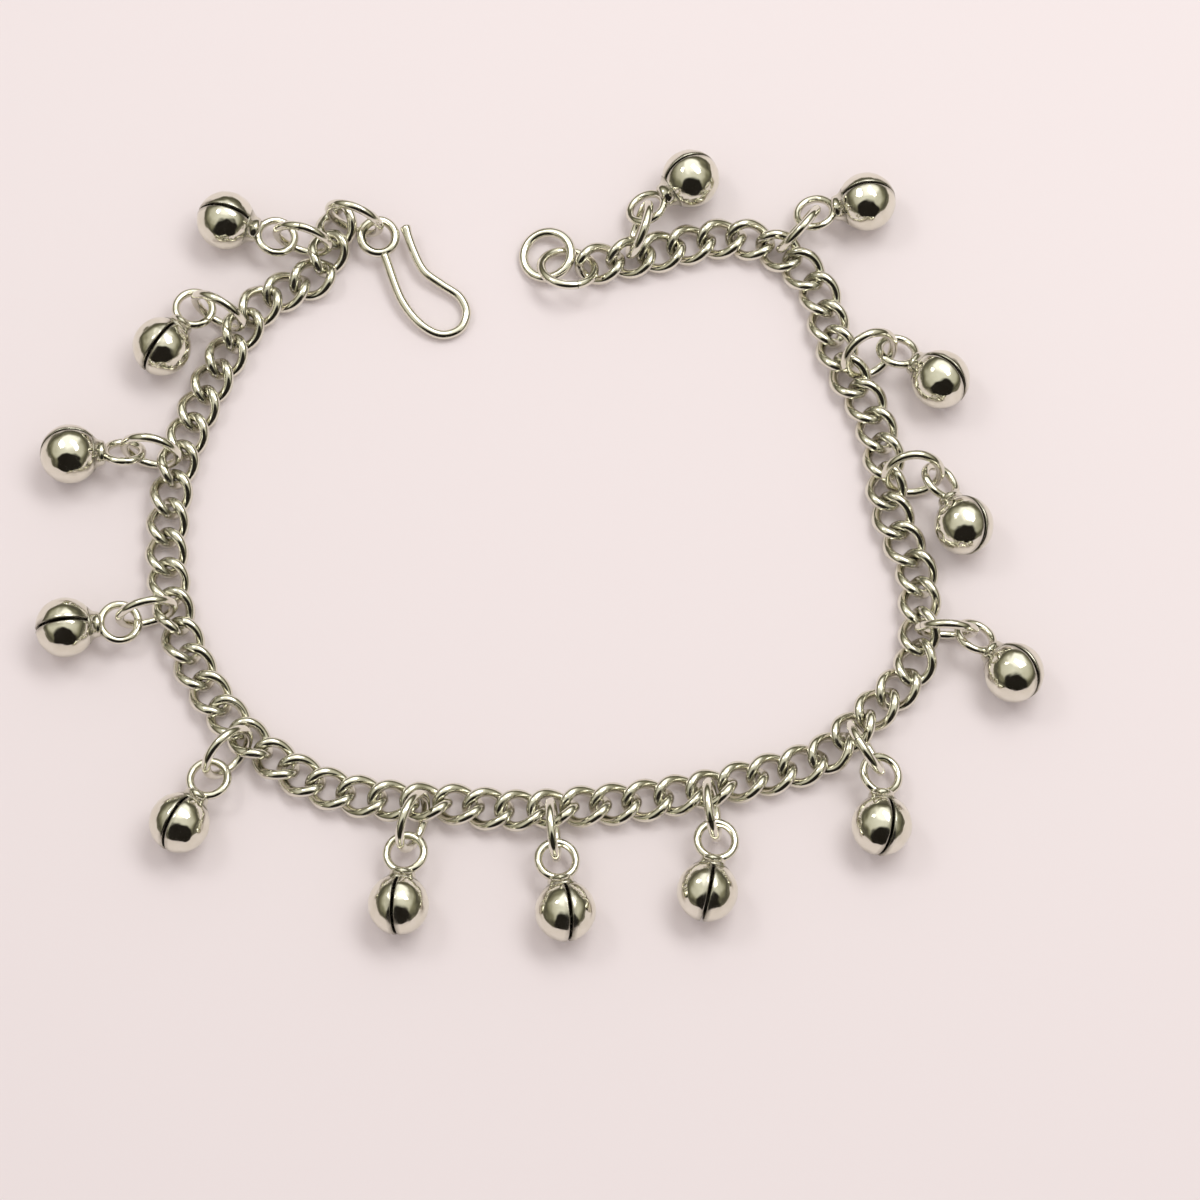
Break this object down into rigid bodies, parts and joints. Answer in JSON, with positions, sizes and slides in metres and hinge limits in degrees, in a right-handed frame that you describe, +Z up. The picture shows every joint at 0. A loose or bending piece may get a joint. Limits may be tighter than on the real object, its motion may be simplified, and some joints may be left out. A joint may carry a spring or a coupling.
{
  "type": "charm anklet",
  "caption": "Curb-chain anklet with round slit jingle bells on jump rings, a wire hook and an end ring, lying open and flat.",
  "frame": {"origin": "middle of the anklet's outline, on the surface that it lies on", "axes": "+X to the right along the anklet's longest extent, +Y from the front of the chain towards the clasp, +Z up"},
  "size_m": [0.1202, 0.0994, 0.0077],
  "materials": {
    "silver": "polished"
  },
  "bodies": {
    "root": {"hook": "silver", "hook_jump_ring": "silver", "chain_run_01": "silver", "chain_run_02": "silver", "chain_run_03": "silver", "chain_run_04": "silver", "chain_run_05": "silver", "chain_run_06": "silver", "chain_run_07": "silver", "chain_run_08": "silver", "chain_run_09": "silver", "chain_run_10": "silver", "chain_run_11": "silver", "chain_run_12": "silver", "chain_run_13": "silver", "chain_run_14": "silver", "bell_01": "silver", "bell_02": "silver", "bell_03": "silver", "bell_04": "silver", "bell_05": "silver", "bell_06": "silver", "bell_07": "silver", "bell_08": "silver", "bell_09": "silver", "bell_10": "silver", "bell_11": "silver", "bell_12": "silver", "bell_13": "silver", "bell_14": "silver", "charm_jump_ring_01": "silver", "charm_jump_ring_02": "silver", "charm_jump_ring_03": "silver", "charm_jump_ring_04": "silver", "charm_jump_ring_05": "silver", "charm_jump_ring_06": "silver", "charm_jump_ring_07": "silver", "charm_jump_ring_08": "silver", "charm_jump_ring_09": "silver", "charm_jump_ring_10": "silver", "charm_jump_ring_11": "silver", "charm_jump_ring_12": "silver", "charm_jump_ring_13": "silver", "charm_jump_ring_14": "silver", "end_jump_ring": "silver", "end_ring": "silver"}
  },
  "joints": []
}
